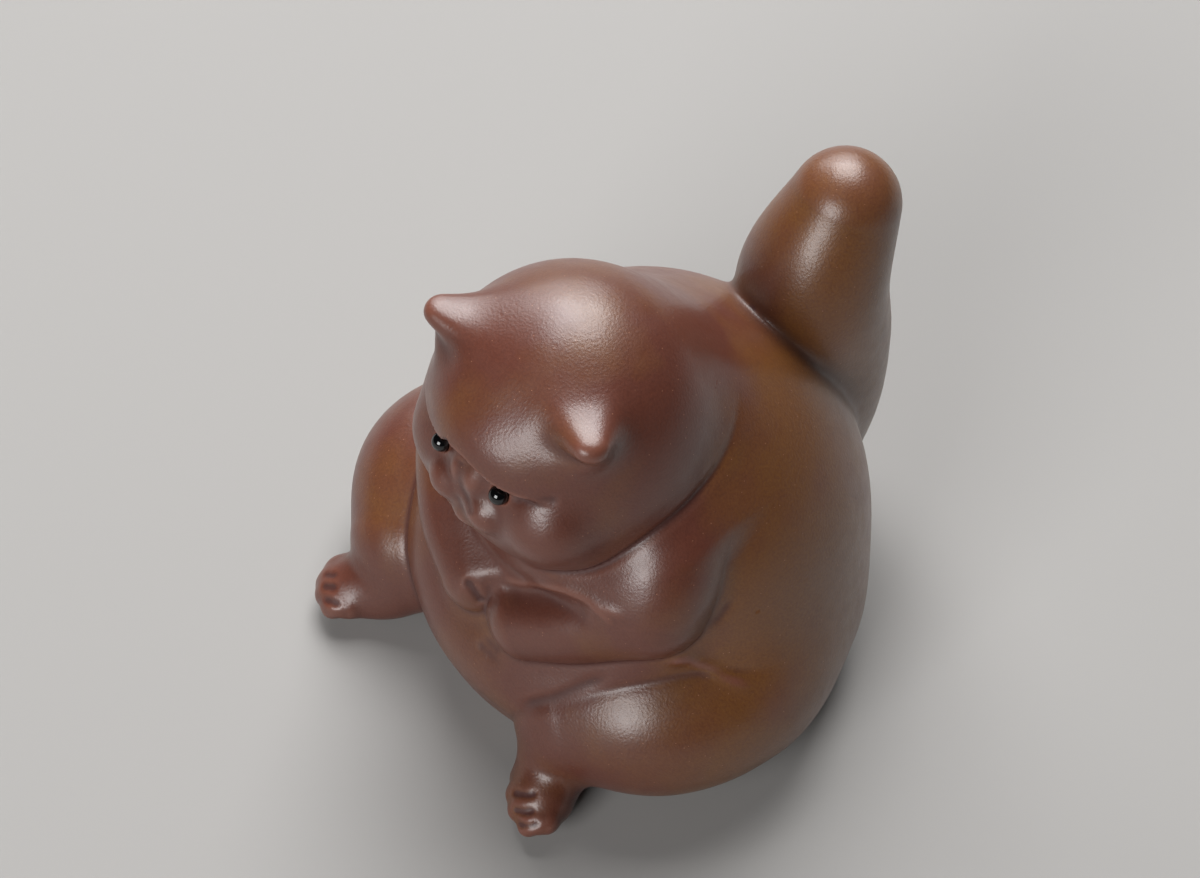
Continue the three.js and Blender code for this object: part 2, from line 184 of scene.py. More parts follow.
def ear(side):
    """Distance to the ear on this side (1: left, -1: right)."""
    mirror = np.array((side, 1.0, 1.0))
    root = EAR_ROOT * mirror
    along = EAR_TIP * mirror - root
    length = math.sqrt(along @ along)
    taper = EAR_ROOT_RADIUS - EAR_TIP_RADIUS
    lean = taper / math.sqrt(length**2 - taper**2)

    def shape(at):
        near = in_head(at) - root
        high = near @ along / length
        out = np.sqrt(np.maximum((near**2).sum(axis=1) - high**2, 0.0))
        share = np.clip((high - out * lean) / length, 0.0, 1.0)
        cone = np.hypot(out, high - share * length) - (EAR_ROOT_RADIUS - taper * share)
        top = in_head(at)[:, 2] - EAR_TOP + EAR_TOP_SLOPE * (in_head(at)[:, 1] - EAR_TIP[1])
        return -lute(-cone, -top, EAR_TOP_ROUNDING)

    return shape


# Arms: two fat rolls of clay that come round the elbow to lie on the belly, paws together. The left one is
# bent sharply, so it is two rolls luted at the elbow. Both are luted on at the shoulder.
NEARER_ROUNDS = 5
LONGEST_STEP = 0.4
ROLL_MARGIN = 8.0
FAR_OFF = 60.0


def weave(ends, places):
    """Points of a smooth line through the given ones at these places, and how it runs on and bends there."""
    span = np.clip(places.astype(int), 0, len(ends) - 4)
    t = places - span
    if ends.ndim > 1:
        t = t[:, None]
    a, b, c, d = (ends[span + k] for k in range(4))
    point = 0.5 * (2 * b + (c - a) * t + (2 * a - 5 * b + 4 * c - d) * t**2 + (3 * b - a - 3 * c + d) * t**3)
    ahead = 0.5 * ((c - a) + 2 * (2 * a - 5 * b + 4 * c - d) * t + 3 * (3 * b - a - 3 * c + d) * t**2)
    bend = (2 * a - 5 * b + 4 * c - d) + 3 * (3 * b - a - 3 * c + d) * t
    return point, ahead, bend


def run_out(line):
    """The line with one more point at each end, so that it can be woven to its ends."""
    line = np.array(line, float)
    return np.concatenate((2 * line[:1] - line[1:2], line, 2 * line[-1:] - line[-2:-1]))


def nearest_place(ends, at, steps, widths=None):
    """The place along a smooth line that is nearest to each point, or to its skin where widths are given."""
    last = len(ends) - 3.0
    places = np.linspace(0.0, last, steps)
    path = weave(ends, places)[0]
    best = np.full(len(at), np.inf)
    place = np.zeros(len(at))
    for k in range(steps - 1):
        along = path[k + 1] - path[k]
        near = at - path[k]
        part = np.clip(near @ along / (along @ along), 0.0, 1.0)
        gap = ((near - part[:, None] * along) ** 2).sum(axis=1)
        closer = gap < best
        best = np.where(closer, gap, best)
        place = np.where(closer, (k + part) * last / (steps - 1), place)
    for _ in range(NEARER_ROUNDS):
        point, ahead, bend = weave(ends, place)
        gap = at - point
        miss = (gap * ahead).sum(axis=1)
        rate = (ahead**2).sum(axis=1)
        curl = (gap * bend).sum(axis=1)
        if widths is not None:
            reach = np.sqrt((gap**2).sum(axis=1))
            _, taper, swell = weave(widths, place)
            miss += reach * taper
            curl += reach * swell
        step = miss / np.maximum(rate - curl, 0.5 * rate)
        place = np.clip(place + np.clip(step, -LONGEST_STEP, LONGEST_STEP), 0.0, last)
    return place


def roll(line, girths, steps=10):
    """Distance to a roll of clay along a smooth line, with its radius given at each point of the line."""
    ends, widths = run_out(line), run_out(girths)
    girth = max(girths)
    reach = girth + ROLL_MARGIN
    low, high = np.min(line, axis=0) - reach, np.max(line, axis=0) + reach

    def shape(at):
        distance = np.full(len(at), FAR_OFF)
        close = ((at > low) & (at < high)).all(axis=1)
        place = nearest_place(ends, at[close], steps, widths)
        gap = at[close] - weave(ends, place)[0]
        distance[close] = np.sqrt((gap**2).sum(axis=1)) - weave(widths, place)[0]
        return distance

    return shape


ELBOW_FILLET = 6.0
left_upper_arm = roll(((11, -8, 50), (19.5, -12, 46.5), (21.8, -16, 39.8)), (7.6, 8.6, 7.4))
left_forearm = roll(((21.8, -16, 39.8), (15.5, -22.8, 34.2), (8.4, -27.4, 29.3)), (7.4, 6.6, 6.0))
right_arm = roll(
    ((-11, -8, 50), (-19, -12, 45.5), (-19.5, -18.5, 39), (-11, -25.8, 33.6), (-2.3, -28.7, 30)),
    (6.4, 7.2, 6.6, 5.9, 5.8),
)


def left_arm(at):
    return lute(left_upper_arm(at), left_forearm(at), ELBOW_FILLET)


# Chest: a fold of the torso's own clay that hangs over the forearms, from the left shoulder to the breast. It
# is pushed down from above while the clay is soft.
chest_fold = roll(
    ((22, -15.5, 43.5), (17.5, -19, 42.5), (12, -21.5, 42), (5.5, -23, 40.5), (-1, -23.5, 38.5)),
    (4.6, 4.8, 4.8, 4.6, 4.0),
)

# Belly: a fold of the torso's own clay, squeezed out between the arms and the thighs from one side to the
# other.
belly_fold = roll(
    (
        (26, -15, 32), (20, -21.3, 26), (10.5, -26.6, 17.5),
        (-2, -27.3, 16.8), (-13, -24.7, 20), (-21.5, -17.5, 27),
    ),
    (2.6, 4.4, 7.4, 8.2, 6.8, 4.6),
)

# Thighs: two thick rolls of clay laid along the sides, which make the haunches and spread the knees. They are
# luted to the torso all along and smoothed into it behind.
left_thigh = roll(((20, 7, 13.5), (26, -4, 14.5), (24.5, -15, 15), (18, -24, 12.5)), (12.5, 14, 14.2, 10.8))
right_thigh = roll(((-20, 3, 13.5), (-27.5, -8, 14), (-29, -17, 13.5), (-23.5, -26, 11.5)), (12, 13, 13, 10))


# Feet: short rolls of clay that drop from the shins to the table, each with four toes of its own. They are
# luted under the thighs, and a tool nicks in the gaps between the toes.
SHIN_GIRTHS = (5.2, 5.2, 4.6)
BALL_LIFT = 0.4
TOE_COUNT = 4
TOE_GIRTHS = (2.0, 1.9, 1.6)
TOE_REACH = (1.6, 2.6)
TOE_DROP = 0.9
TOE_SETBACK = 0.3
TOE_ROW_BOW = 1.2
TOE_FILLET = 2.2


def foot(line, aim, row):
    """Distance to a foot: its shin's line, which way its toes point, and how wide their row is."""
    instep = roll(line, SHIN_GIRTHS, steps=6)
    aim = np.array((*aim, 0.0)) / math.hypot(*aim)
    across = np.array((-aim[1], aim[0], 0.0))
    ball = np.array(line[-1], float) + (0, 0, BALL_LIFT)
    middle, tip = TOE_REACH
    toes = []
    for k in range(TOE_COUNT):
        share = k / (TOE_COUNT - 1) - 0.5
        root = ball + across * share * row + aim * (TOE_SETBACK + TOE_ROW_BOW * (1 - 4 * share * share))
        line = (root, root + aim * middle, root + aim * tip - (0, 0, TOE_DROP))
        toes.append(roll(line, TOE_GIRTHS, steps=4))

    def shape(at):
        form = instep(at)
        for toe in toes:
            form = lute(form, toe(at), TOE_FILLET)
        return form

    return shape


left_foot = foot(((17.2, -28, 11), (19.2, -32, 6), (22.1, -35.6, 4.4)), (-0.49, -0.87), 8.4)
right_foot = foot(((-18, -27.5, 11), (-21.3, -32.3, 6), (-25.7, -37, 4.3)), (-0.61, -0.79), 7.0)

# Tail: a club of clay, thickest above its middle, that stands up against the back. It is luted along the
# back, and its root is smoothed out wide on the table.
tail = roll(
    ((0, 29.5, 11), (0, 33, 26), (0, 32.8, 41), (0, 31, 55), (0, 36, 68.4)),
    (8.6, 10.2, 11.0, 11.2, 8.2),
)

# Skin: the joined clay before firing. Slip fills the seams, wide behind the neck and at the shoulders and
# narrow where the folds stay sharp. A tool then draws the creases, and the whole is burnished.
BELLY_FILLET = 4.0
SHIN_FILLET = 5.0
THIGH_FILLET = 4.5
HAUNCH_FILLET = 12.5
THIGH_SCORE = 0.25
PAW_FILLET = 4.0
SHOULDER_FILLET = 10.0
ARM_SCORE = 0.2
CHEST_FILLET = 2.5
BREAST_FILLET = 7.5
TAIL_FILLET = 3.6
TAIL_ROOT_FILLET = 7.6
CHIN_FILLET = 6.0
JOWL_FILLET = 4.0
NAPE_FILLET_MORE = 12.0
JOWL_SCORE = 0.4
# Where one kind of seam turns into the next: from and to, in mm along the axis that luted() names.
FRONT = (-14.0, -2.0)
BEHIND_NECK = (-8.0, 8.0)
BESIDE_CHIN = (9.0, 15.0)
BREAST_HEIGHTS = (38.0, 44.0)
TAIL_ROOT_HEIGHTS = (10.0, 24.0)
# The line on the arms above which they run into the shoulders: its height, slope, place across and width.
ARM_LINE = (33.0, 0.65, 7.0, 7.0)

EYE_RADIUS = 1.42
EYE_PLACE = np.array((6.0, -18.7, 4.5))
SOCKET_CLEARANCE = 0.05
SOCKET_ROUNDING = 0.4
BASE_ROUNDING = 1.2

# The tool's lines are chosen on the photograph, so each point is a place in its picture.
PICTURE = np.array((1200.0, 878.0))
LENS = 96.0
SENSOR_WIDTH = 36.0
CAMERA_PLACE = np.array((211.4, -170.4, 421.5))
CAMERA_RIGHT = np.array((0.60876, 0.79335, 0.0))
CAMERA_UP = np.array((-0.64588, 0.49560, 0.58070))
CAMERA_BACK = np.cross(CAMERA_RIGHT, CAMERA_UP)
FOLDS = (
    # line in the picture, half width and depth in mm (below 0: raised)
    # the fold's lower edge over the forearm, with a branch
    (((499, 577), (522, 583), (554, 588), (579, 596), (601, 607), (630, 619)), 1.0, -0.35),
    (((590, 602), (601, 613), (617, 627)), 0.8, -0.2),
    # the hollow under it
    (((500, 597), (522, 598), (550, 601), (574, 608), (594, 618)), 2.6, 0.45),
    # along the edge of the left thigh
    (((517, 706), (540, 701), (556, 697), (583, 686), (613, 676)), 1.0, 0.35),
    # the haunch's upper edge
    (((660, 662), (684, 660), (705, 666), (728, 677), (756, 690)), 1.1, -0.3),
    # the belly, puckered under the paws
    (((474, 640), (485, 650), (504, 667)), 1.0, 0.2),
    (((481, 634), (493, 646), (503, 657)), 0.8, 0.15),
    # the elbow's crease
    (((706, 632), (722, 614), (735, 594)), 1.0, 0.2),
    # the right paw's toes
    (((464, 576), (471, 588), (478, 598), (484, 604)), 0.8, 0.45),
    # the corner of the left eye
    (((508, 497), (522, 500), (534, 503), (548, 501), (562, 502)), 1.0, 0.25),
    # the nose and the mouth
    (((461, 457), (459, 466), (458, 477), (461, 487), (466, 497), (469, 508), (471, 518)), 0.9, 0.2),
    (((454, 490), (460, 503), (466, 516)), 0.9, 0.12),
    # between the left foot's toes
    (((511, 792), (518, 794), (528, 795), (540, 793)), 0.6, 0.35),
    (((511, 809), (518, 811), (526, 812), (538, 810)), 0.6, 0.35),
    (((516, 824), (524, 826), (532, 826), (542, 822)), 0.6, 0.35),
    # between the right foot's toes
    (((322, 574), (330, 575), (340, 576)), 0.6, 0.25),
    (((320, 586), (328, 587), (340, 588)), 0.6, 0.35),
    (((322, 599), (331, 602), (344, 606)), 0.6, 0.4),
)


CREASE_FADE = 0.8


def crease(line, half_width, depth):
    """How deep a tool has drawn along a line, which fades out towards both ends."""
    ends = run_out(line)
    last = len(line) - 1.0
    low, high = np.min(line, axis=0) - 3 * half_width, np.max(line, axis=0) + 3 * half_width

    def cut(at):
        deep = np.zeros(len(at))
        close = ((at > low) & (at < high)).all(axis=1)
        place = nearest_place(ends, at[close], 2 * len(line))
        gap = ((at[close] - weave(ends, place)[0]) ** 2).sum(axis=1)
        fade = eased(0.0, CREASE_FADE, np.minimum(place, last - place))
        deep[close] = depth * fade * np.exp(-gap / half_width**2)
        return deep

    return cut


eye_centres = [HEAD_CENTRE + HEAD_AXES @ (EYE_PLACE * (side, 1, 1)) for side in (1, -1)]
PIECES = {
    "torso_skin": lambda at: np.minimum(np.minimum(torso(at), belly_fold(at)), chest_fold(at)),
    "head_skin": head,
    "left_ear_skin": ear(1),
    "right_ear_skin": ear(-1),
    "left_arm_skin": left_arm,
    "right_arm_skin": right_arm,
    "left_thigh_skin": left_thigh,
    "right_thigh_skin": right_thigh,
    "left_foot_skin": left_foot,
    "right_foot_skin": right_foot,
    "tail_skin": tail,
}


def between(first, second, share):
    return first + (second - first) * share


def luted(at):
    """Distance to the joined clay, before the creases are drawn."""
    x, y, z = at.T
    part = {name: shape(at) for name, shape in PIECES.items()}
    head_clay = part["head_skin"]
    for name in ("left_ear_skin", "right_ear_skin"):
        head_clay = lute(head_clay, part[name], EAR_FILLET)
    beside_ear = in_head(at) * np.where(in_head(at)[:, :1] < 0, (-1, 1, 1), 1)
    for centre, reach, depth in EAR_TOUCHES:
        head_clay = head_clay + depth * np.exp(-(((beside_ear - centre) / reach) ** 2).sum(axis=1))
    body = lute(torso(at), belly_fold(at), BELLY_FILLET)
    in_front = 1.0 - eased(*FRONT, y)
    for side in ("left", "right"):
        leg = lute(part[f"{side}_thigh_skin"], part[f"{side}_foot_skin"], SHIN_FILLET)
        body = lute(body, leg, between(HAUNCH_FILLET, THIGH_FILLET, in_front), THIGH_SCORE * in_front)
    height, slope, across, width = ARM_LINE
    over_arm = eased(0.0, width, z - height - slope * (np.abs(x) - across))
    for side in ("left", "right"):
        fillet = between(PAW_FILLET, SHOULDER_FILLET, over_arm)
        body = lute(body, part[f"{side}_arm_skin"], fillet, ARM_SCORE * (1.0 - over_arm) * in_front)
    body = lute(body, chest_fold(at), between(CHEST_FILLET, BREAST_FILLET, eased(*BREAST_HEIGHTS, z)))
    tail_fillet = between(TAIL_ROOT_FILLET, TAIL_FILLET, eased(*TAIL_ROOT_HEIGHTS, z))
    body = lute(body, part["tail_skin"], tail_fillet)
    behind = eased(*BEHIND_NECK, y)
    beside = eased(*BESIDE_CHIN, np.abs(x))
    fillet = between(CHIN_FILLET, JOWL_FILLET, beside) + NAPE_FILLET_MORE * behind
    return lute(body, head_clay, fillet, JOWL_SCORE * beside * (1.0 - behind))


BEFORE_THE_CLAY = 370.0
SIGHT_STEPS = 90


def seen_at(places):
    """The points of the clay that the camera sees at these places of its picture."""
    across, down = (places - PICTURE / 2).T * SENSOR_WIDTH / LENS / PICTURE[0]
    ray = across[:, None] * CAMERA_RIGHT - down[:, None] * CAMERA_UP - CAMERA_BACK
    ray /= np.sqrt((ray**2).sum(axis=1))[:, None]
    reach = np.full(len(places), BEFORE_THE_CLAY)
    for _ in range(SIGHT_STEPS):
        reach += 0.7 * np.clip(luted(CAMERA_PLACE + ray * reach[:, None]), -3.0, 6.0)
    return CAMERA_PLACE + ray * reach[:, None]


drawn = seen_at(np.array([place for line, _, _ in FOLDS for place in line], float))
drawn = np.split(drawn, np.cumsum([len(line) for line, _, _ in FOLDS])[:-1])
creases = [crease(line, width, depth) for line, (_, width, depth) in zip(drawn, FOLDS)]


def clay(at):
    """Distance to the skin of the whole figure."""
    body = luted(at)
    for cut in creases:
        body = body + cut(at)
    for centre in eye_centres:
        socket = EYE_RADIUS + SOCKET_CLEARANCE - np.sqrt(((at - centre) ** 2).sum(axis=1))
        body = -lute(-body, -socket, SOCKET_ROUNDING)
    vent = VENT_RADIUS - np.sqrt(((at - VENT) ** 2).sum(axis=1))
    body = -lute(-body, -vent, SOCKET_ROUNDING)
    return -lute(-body, at[:, 2], BASE_ROUNDING)


# The skin as a mesh: a net of cells along the surface, halved once and drawn on to it. No clay lies outside
# the two corners of the net.
NET_STEP = 0.8
NET_LOW = np.array((-44.0, -48.0, -2.0))
NET_HIGH = np.array((44.0, 50.0, 86.0))
BLOCK = 5
BLOCK_REACH = 1.4
BLOCKS_AT_ONCE = 2000


def field_around(form, low, high):
    """The form's values on a grid, worked out only in the blocks that the surface can pass through."""
    size = BLOCK * NET_STEP
    blocks = np.ceil((high - low) / size).astype(int)
    corners = np.stack(np.meshgrid(*(np.arange(n) for n in blocks), indexing="ij"), axis=-1).reshape(-1, 3)
    middle = (BLOCK - 1) / 2
    coarse = form(low + (corners * BLOCK + middle) * NET_STEP)
    field = np.repeat(np.repeat(np.repeat(coarse.reshape(blocks), BLOCK, 0), BLOCK, 1), BLOCK, 2)
    inner = np.stack(np.meshgrid(*(np.arange(BLOCK),) * 3, indexing="ij"), axis=-1).reshape(-1, 3)
    near = corners[np.abs(coarse) < BLOCK_REACH * size]
    for first in range(0, len(near), BLOCKS_AT_ONCE):
        nodes = (near[first : first + BLOCKS_AT_ONCE, None] * BLOCK + inner).reshape(-1, 3)
        field[tuple(nodes.T)] = form(low + nodes * NET_STEP)
    return field


def net_over(field, low):
    """One vertex in each cell that the surface crosses, and a face across each grid edge that it cuts."""
    solid = field < 0
    cells = np.array(field.shape) - 1
    offsets = list(itertools.product((0, 1), repeat=3))
    views = [tuple(slice(o, o + n) for o, n in zip(offset, cells)) for offset in offsets]
    count = sum(solid[view].astype(np.int8) for view in views)
    mixed = np.argwhere((count > 0) & (count < 8))
    index = np.full(cells, -1)
    index[tuple(mixed.T)] = np.arange(len(mixed))
    total = np.zeros((len(mixed), 3))
    crossings = np.zeros(len(mixed))
    for start, end in itertools.combinations(offsets, 2):
        if sum(abs(a - b) for a, b in zip(start, end)) != 1:
            continue
        a = field[tuple((mixed + start).T)]
        b = field[tuple((mixed + end).T)]
        cut = (a < 0) != (b < 0)
        share = np.where(cut, a / np.where(cut, a - b, 1.0), 0.0)
        total += np.where(cut[:, None], start + share[:, None] * (np.array(end) - start), 0.0)
        crossings += cut
    points = low + (mixed + total / crossings[:, None]) * NET_STEP
    faces = []
    for axis in range(3):
        u, v = np.eye(3, dtype=int)[(axis + 1) % 3], np.eye(3, dtype=int)[(axis + 2) % 3]
        ahead = np.roll(solid, -1, axis)
        edges = np.argwhere(solid != ahead)
        inside = ((edges > 0) & (edges < cells)).all(axis=1)
        edges = edges[inside]
        quads = np.stack([index[tuple((edges - step).T)] for step in (u + v, v, 0 * u, u)], axis=1)
        leaving = solid[tuple(edges.T)]
        faces.append(np.where(leaving[:, None], quads, quads[:, ::-1]))
    return points, np.concatenate(faces)


def edges_of(faces):
    """Each edge once, and which of them each side of the faces is."""
    pairs = np.concatenate([faces[:, [k, (k + 1) % 4]] for k in range(4)])
    return np.unique(np.sort(pairs, axis=1), axis=0, return_inverse=True)


def halved(points, faces):
    """Each face cut into four at the middles of its edges."""
    edges, which = edges_of(faces)
    mids = len(points) + which.reshape(4, -1).T
    centres = len(points) + len(edges) + np.arange(len(faces))
    finer = np.concatenate([
        np.stack((faces[:, k], mids[:, k], centres, mids[:, k - 1]), axis=1) for k in range(4)
    ])
    return np.vstack((points, points[edges].mean(axis=1), points[faces].mean(axis=1))), finer


def drawn_on(form, points):
    """The points moved on to the surface, with the slope of the form there."""
    value = form(points)
    slope = slope_of(form, points, value)
    move = value[:, None] * slope / np.maximum((slope**2).sum(axis=1), 0.2)[:, None]
    return points - np.clip(move, -NET_STEP / 2, NET_STEP / 2), slope


def evened(points, faces, slope):
    """The points spread evenly over the surface, each towards the middle of its neighbours."""
    edges = edges_of(faces)[0]
    total = np.zeros_like(points)
    count = np.zeros(len(points))
    for a, b in (edges.T, edges.T[::-1]):
        for axis in range(3):
            total[:, axis] += np.bincount(a, points[b, axis], len(points))
        count += np.bincount(a, minlength=len(points))
    out = slope / np.sqrt((slope**2).sum(axis=1))[:, None]
    shift = total / count[:, None] - points
    return points + 0.5 * (shift - (shift * out).sum(axis=1)[:, None] * out)


points, faces = net_over(field_around(clay, NET_LOW, NET_HIGH), NET_LOW)
for cut_finer in (True, False):
    for _ in range(2):
        points, slope = drawn_on(clay, points)
        points = evened(points, faces, slope)
    if cut_finer:
        points, faces = halved(points, faces)
for _ in range(2):
    points, slope = drawn_on(clay, points)
outward = slope / np.sqrt((slope**2).sum(axis=1))[:, None]


FOLDED_BELOW = 0.4


def relaxed(points, faces, outward, rounds=12):
    """The places where the net has folded over in a deep crease, evened out until they lie open."""
    edges = edges_of(faces)[0]
    a, b, c, d = (points[faces[:, k]] for k in range(4))
    facing = np.cross(c - a, d - b)
    facing /= np.maximum(np.sqrt((facing**2).sum(axis=1)), 1e-12)[:, None]
    folded = np.zeros(len(points))
    for k in range(4):
        against = (facing * outward[faces[:, k]]).sum(axis=1) < FOLDED_BELOW
        np.maximum.at(folded, faces[against].ravel(), 1.0)
    for _ in range(2):
        spread = folded.copy()
        np.maximum.at(spread, edges[:, 0], folded[edges[:, 1]])
        np.maximum.at(spread, edges[:, 1], folded[edges[:, 0]])
        folded = spread
    loose = folded > 0
    count = np.bincount(edges.ravel(), minlength=len(points))[:, None]
    for _ in range(rounds):
        for field in (points, outward):
            total = np.zeros_like(field)
            for i, j in (edges.T, edges.T[::-1]):
                for axis in range(3):
                    total[:, axis] += np.bincount(i, field[j, axis], len(points))
            field[loose] = (total / count)[loose]
    return points, outward / np.sqrt((outward**2).sum(axis=1))[:, None]


points, outward = relaxed(points, faces, outward)

# How hollow (below 0) or raised (above 0) the skin is at each point, for the painted shade, the painted
# highlight and the roughness to follow.
PROBE = 0.6
raised = sum(clay(points + step * PROBE * axis) for axis in np.eye(3) for step in (-1, 1)) / PROBE**2


def neighbours(faces):
    """Pairs of faces that lie side by side."""
    which = edges_of(faces)[1].ravel()
    order = np.argsort(which, kind="stable")
    paired = which[order[:-1]] == which[order[1:]]
    return np.stack((order[:-1][paired], order[1:][paired]), axis=1) % len(faces)


def patches(pairs, count):
    """One number for all the faces that hang together through these pairs."""
    patch = np.arange(count)
    while True:
        lower = patch.copy()
        least = np.minimum(patch[pairs[:, 0]], patch[pairs[:, 1]])
        np.minimum.at(lower, pairs[:, 0], least)
        np.minimum.at(lower, pairs[:, 1], least)
        lower = lower[lower][lower]
        if (lower == patch).all():
            return patch
        patch = lower


def without_islands(nearest, pairs):
    """Small patches of one piece inside another, given to the piece around them."""
    same = pairs[nearest[pairs[:, 0]] == nearest[pairs[:, 1]]]
    patch = patches(same, len(nearest))
    count = np.bincount(patch, minlength=len(nearest))
    main = np.array([np.argmax(np.where(nearest == k, count[patch], 0)) for k in range(len(PIECES))])
    small = patch != patch[main][nearest]
    while small.any():
        before = small.sum()
        for first, second in (pairs.T, pairs.T[::-1]):
            fill = small[first] & ~small[second]
            nearest[first[fill]] = nearest[second[fill]]
            small[first[fill]] = False
        if small.sum() == before:
            raise ValueError("a patch of skin hangs loose")
    return nearest


# Crumbs that the net made beside the skin are dropped, and each face goes to the piece that it lies on.
skin = patches(neighbours(faces), len(faces))
faces = faces[skin == np.argmax(np.bincount(skin))]
centres = points[faces].mean(axis=1)
nearest = np.argmin(np.stack([shape(centres) for shape in PIECES.values()]), axis=0)
nearest = without_islands(nearest, neighbours(faces))


def rims_of(quads):
    """The sides that only one face has, gathered into closed rims."""
    sides = np.concatenate([quads[:, [k, (k + 1) % 4]] for k in range(4)])
    known = set(map(tuple, sides))
    open_sides = [(a, b) for a, b in sides if (b, a) not in known]
    leader = {a: a for side in open_sides for a in side}

    def led_by(point):
        while leader[point] != point:
            leader[point] = leader[leader[point]]
            point = leader[point]
        return point

    for a, b in open_sides:
        leader[led_by(a)] = led_by(b)
    rims = {}
    for a, b in open_sides:
        rims.setdefault(led_by(a), []).append((a, b))
    return rims.values()


# Where a piece was luted to its neighbours, a wall this deep and a cone close it inside the clay.
CAP_DEPTH = 1.2


def piece_of(name, chosen, material, node_name):
    """The chosen faces as one closed piece, which rides the body and stands for its CAD node."""
    used, flat = np.unique(faces[chosen], return_inverse=True)
    quads = flat.reshape(-1, 4)
    at = points[used] / 1000
    inwards = -outward[used] * CAP_DEPTH / 1000
    inside = []
    caps = []
    for rim in rims_of(quads):
        middle = len(used) + len(inside)
        inside.append(np.mean([at[a] + 2 * inwards[a] for a, _ in rim], axis=0))
        wall = {}
        for a, _ in rim:
            if a not in wall:
                wall[a] = len(used) + len(inside)
                inside.append(at[a] + inwards[a])
        caps += [(b, a, wall[a], wall[b]) for a, b in rim]
        caps += [(wall[b], wall[a], middle) for a, b in rim]
    mesh = bpy.data.meshes.new(name)
    mesh.from_pydata([*at.tolist(), *map(list, inside)], [], quads.tolist() + caps)
    mesh.polygons.foreach_set("use_smooth", np.ones(len(mesh.polygons), bool))
    mesh.normals_split_custom_set_from_vertices(outward[used].tolist() + [(0.0, 0.0, 1.0)] * len(inside))
    layer = mesh.attributes.new("raised", "FLOAT", "POINT")
    layer.data.foreach_set("value", np.append(raised[used], np.zeros(len(inside))).astype(np.float32))
    mesh.materials.append(material)
    piece = bpy.data.objects.new(name, mesh)
    bpy.context.scene.collection.objects.link(piece)
    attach(piece, "root")
    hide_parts(node_name)


# Clay: fired zisha, a sandy purple-brown stoneware with no glaze, burnished with a horn tool while leather
# hard. The eye sees a satin skin with broad soft lights, fine grain, pale sand and a warmer tone at random.
# Warm reflected light is painted into the colour on the side away from the window, painted shade darkens the
# hollows, which are also a little rougher, and a painted highlight lightens the raised places.
# Colours: the clay, its warm tone with painted warm light, dark grain with painted shade, the painted highlight
# on raised places, and sand.
CLAY = "#5f3326"
WARM_TONE_AND_LIGHT = "#6e4521"
GRAIN_AND_SHADE_DARK = "#46211a"
RIDGE_HIGHLIGHT = "#6f4234"
SAND = "#a5735a"
# Patterns in mm. The real grain is about 0.2 mm across and is drawn twice as coarse, so that it shows.
GRAIN_SIZE = 0.40
SMEAR_SIZE = 2.5
MOTTLE_SIZE = 16.0
SAND_SPACING = 1.1
# A grain of sand reaches this share of the spacing, and this share of the places has none.
SAND_REACH = 0.09
SAND_CORE = 0.05
BARE_SHARE = 0.4
SAND_STRENGTH = 0.7
# Curvature, as raised gives it, over which raised places get a painted highlight and hollows get painted shade
# and more roughness.
RIDGE_HIGHLIGHT_FROM, RIDGE_HIGHLIGHT_TO = 0.1, 0.9
HOLLOW_FROM, HOLLOW_TO = -0.05, -1.0
# Warm light reflected on to the side away from the window, painted into the colour: its direction, and where in
# metres it grows full.
WARM_LIGHT_SIDE = (0.71, 0.66, -0.12)
WARM_LIGHT_FROM, WARM_LIGHT_TO = 0.001, 0.015
WARM_LIGHT_STRENGTH = 0.36
WARM_FROM, WARM_TO = 0.48, 0.80
GRAIN_STRENGTH = 0.35
SMOOTHEST, ROUGHEST = 0.38, 0.46
HOLLOW_ROUGHER = 0.18
STONEWARE_IOR = 1.5
# Tea film rubbed in by handling: a thin, smoother layer over the clay.
FILM_WEIGHT = 0.4
FILM_ROUGHNESS = 0.26
BUMP_DEPTH = 0.00008


def linear(hex_colour):
    """sRGB hex to linear RGBA."""
    parts = [int(hex_colour[k : k + 2], 16) / 255 for k in (1, 3, 5)]
    return (*((c / 12.92 if c <= 0.04045 else ((c + 0.055) / 1.055) ** 2.4) for c in parts), 1.0)


def add(tree, kind, settings=None, **links):
    """A node with its settings. Its inputs, by name or as i and their number, take values or outputs."""
    node = tree.nodes.new(kind)
    for name, value in (settings or {}).items():
        setattr(node, name, value)
    for name, value in links.items():
        socket = node.inputs[int(name[1:]) if name[0] == "i" and name[1:].isdigit() else name.replace("_", " ")]
        if isinstance(value, bpy.types.NodeSocket):
            tree.links.new(value, socket)
        else:
            socket.default_value = value
    return node


def new_material(name):
    material = bpy.data.materials.new(name)
    material.use_nodes = True
    material.node_tree.nodes.clear()
    return material, material.node_tree


burnished_clay, tree = new_material("burnished_zisha_clay")
place = add(tree, "ShaderNodeTexCoord").outputs["Object"]
mottle = add(tree, "ShaderNodeTexNoise", Vector=place, Scale=1000 / MOTTLE_SIZE, Detail=3.0).outputs["Fac"]
grain = add(tree, "ShaderNodeTexNoise", Vector=place, Scale=1000 / GRAIN_SIZE, Detail=2.0).outputs["Fac"]
smear = add(tree, "ShaderNodeTexNoise", Vector=place, Scale=1000 / SMEAR_SIZE, Detail=4.0).outputs["Fac"]
sand = add(tree, "ShaderNodeTexVoronoi", Vector=place, Scale=1000 / SAND_SPACING, Randomness=1.0)
height = add(tree, "ShaderNodeAttribute", {"attribute_name": "raised"}).outputs["Fac"]
# Painted highlight: the raised places are drawn lighter.
painted_ridge_highlight = add(
    tree, "ShaderNodeMapRange", Value=height, From_Min=RIDGE_HIGHLIGHT_FROM, From_Max=RIDGE_HIGHLIGHT_TO
).outputs["Result"]
